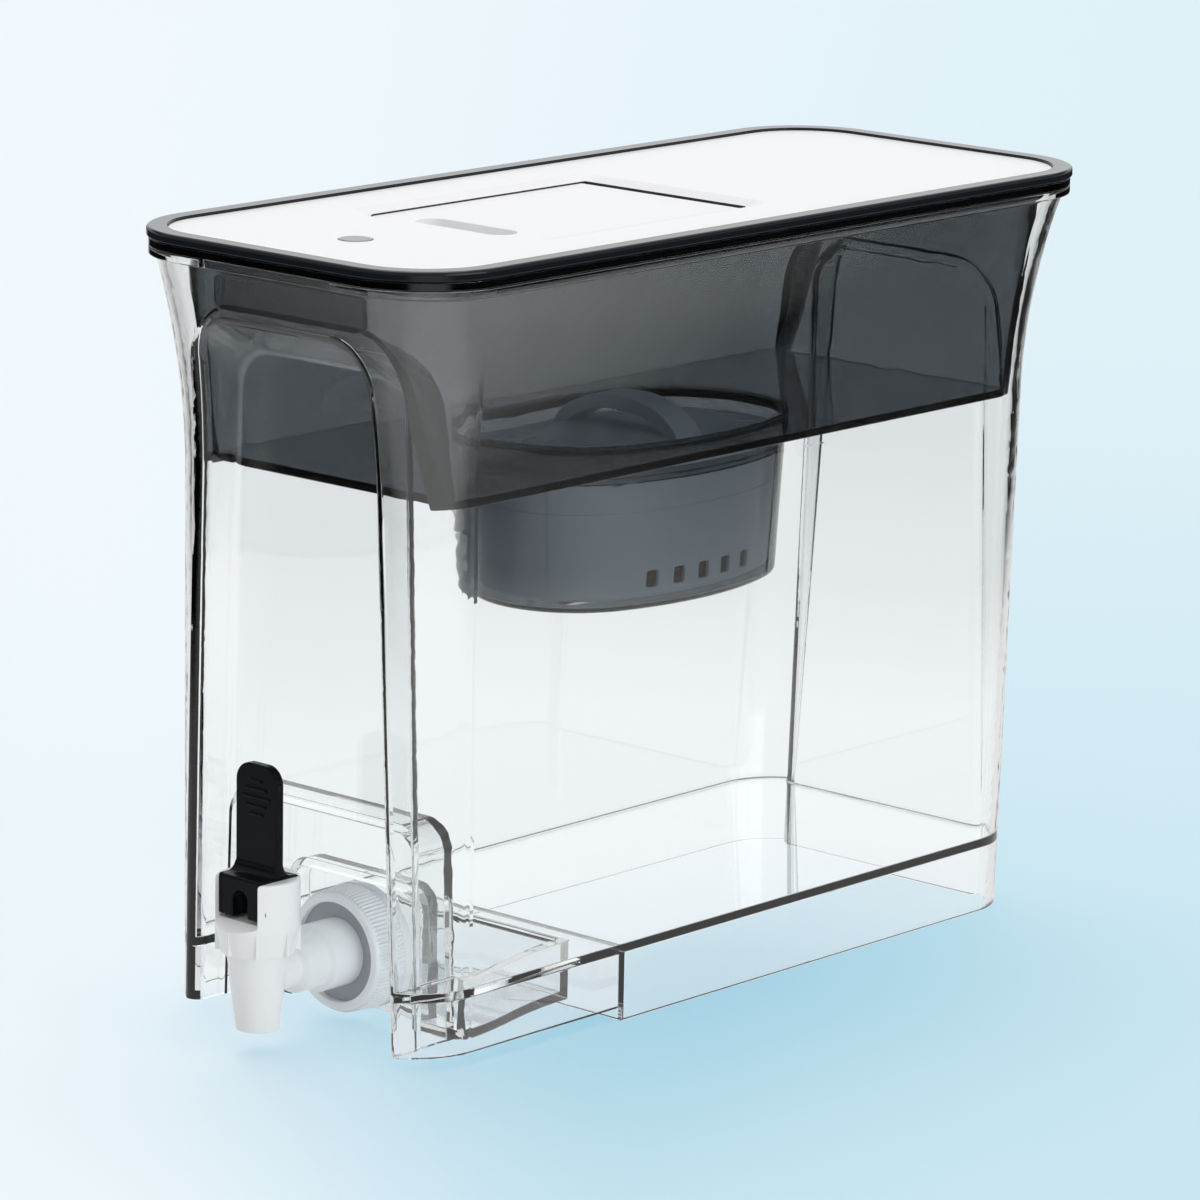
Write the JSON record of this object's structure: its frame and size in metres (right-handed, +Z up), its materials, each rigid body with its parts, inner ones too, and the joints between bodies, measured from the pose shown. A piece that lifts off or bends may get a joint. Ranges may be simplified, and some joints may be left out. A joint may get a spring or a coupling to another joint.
{
  "type": "gravity water filter dispenser with tap",
  "caption": "Slim clear water dispenser tank with a smoke-tinted filter hopper, white lid with a fill door, oval filter and lever tap.",
  "frame": {"origin": "centre of the whole object's footprint on the surface it stands on, with the tap counted in", "axes": "+Z up, -Y towards the user on the tap side, +X to the right of someone who faces the back"},
  "size_m": [0.1502, 0.3756, 0.275],
  "materials": {
    "clear_plastic": "clear, moulded",
    "smoke_plastic": "smoke-tinted, translucent, moulded",
    "dark_rim_plastic": "near-black, glossy",
    "white_plastic": "white, satin-gloss",
    "black_plastic": "near-black, satin",
    "tap_white": "white, glossy",
    "seal_rubber": "silicone, matt",
    "steel": "stainless, drawn",
    "cell_steel": "nickel-plated",
    "board": "circuit board",
    "media": "granular carbon and resin bed",
    "filter_white": "white, moulded"
  },
  "bodies": {
    "tank": {"tank": "clear_plastic", "cap_nut": "tap_white", "neck_gasket": "seal_rubber", "tap_body": "tap_white", "tap_bonnet": "tap_white", "bonnet_seal": "seal_rubber", "tap_spring": "steel"},
    "hopper": {"hopper": "smoke_plastic"},
    "lid": {"lid_frame": "dark_rim_plastic", "lid_panel": "white_plastic", "door_hinge_pin": "steel", "indicator_housing": "white_plastic", "indicator_board": "board", "coin_cell": "cell_steel"},
    "fill_door": {"fill_door": "white_plastic"},
    "indicator_button": {"indicator_button": "white_plastic"},
    "filter": {"filter_shell": "filter_white", "filter_cap": "filter_white", "filter_media": "media", "filter_screen": "filter_white", "filter_seal": "seal_rubber"},
    "tap_lever": {"tap_lever": "black_plastic"},
    "valve": {"valve_stem": "white_plastic", "seat_cup": "seal_rubber"}
  },
  "joints": [
    {"name": "hopper_lift", "type": "slide", "parent": "tank", "child": "hopper", "axis": [0, 0, 1], "range_m": [0, 0.14]},
    {"name": "lid_lift", "type": "slide", "parent": "hopper", "child": "lid", "axis": [0, 0, 1], "range_m": [0, 0.06]},
    {"name": "filter_lift", "type": "slide", "parent": "hopper", "child": "filter", "axis": [0, 0, 1], "range_m": [0, 0.056]},
    {"name": "fill_door_hinge", "type": "hinge", "parent": "lid", "child": "fill_door", "pos_m": [0, 0.02455, 0.2699], "axis": [-1, 0, 0], "range_deg": [0, 95]},
    {"name": "indicator_press", "type": "slide", "parent": "lid", "child": "indicator_button", "axis": [0, 0, -1], "range_m": [0, 0.0007], "stiffness_N_per_m": 200, "springref_m": -0.001},
    {"name": "lever_tilt", "type": "hinge", "parent": "tank", "child": "tap_lever", "pos_m": [0, -0.17985, 0.052], "axis": [1, 0, 0], "range_deg": [0, 20], "stiffness_Nm_per_rad": 0.06, "springref_deg": -20.05},
    {"name": "stem_lift", "type": "slide", "parent": "tank", "child": "valve", "axis": [0, 0, 1], "range_m": [0, 0.0023], "deforming": ["tap_spring"]}
  ],
  "couplings": [
    {"joint": "stem_lift", "follows": "lever_tilt", "m_per_rad": 0.0065}
  ]
}
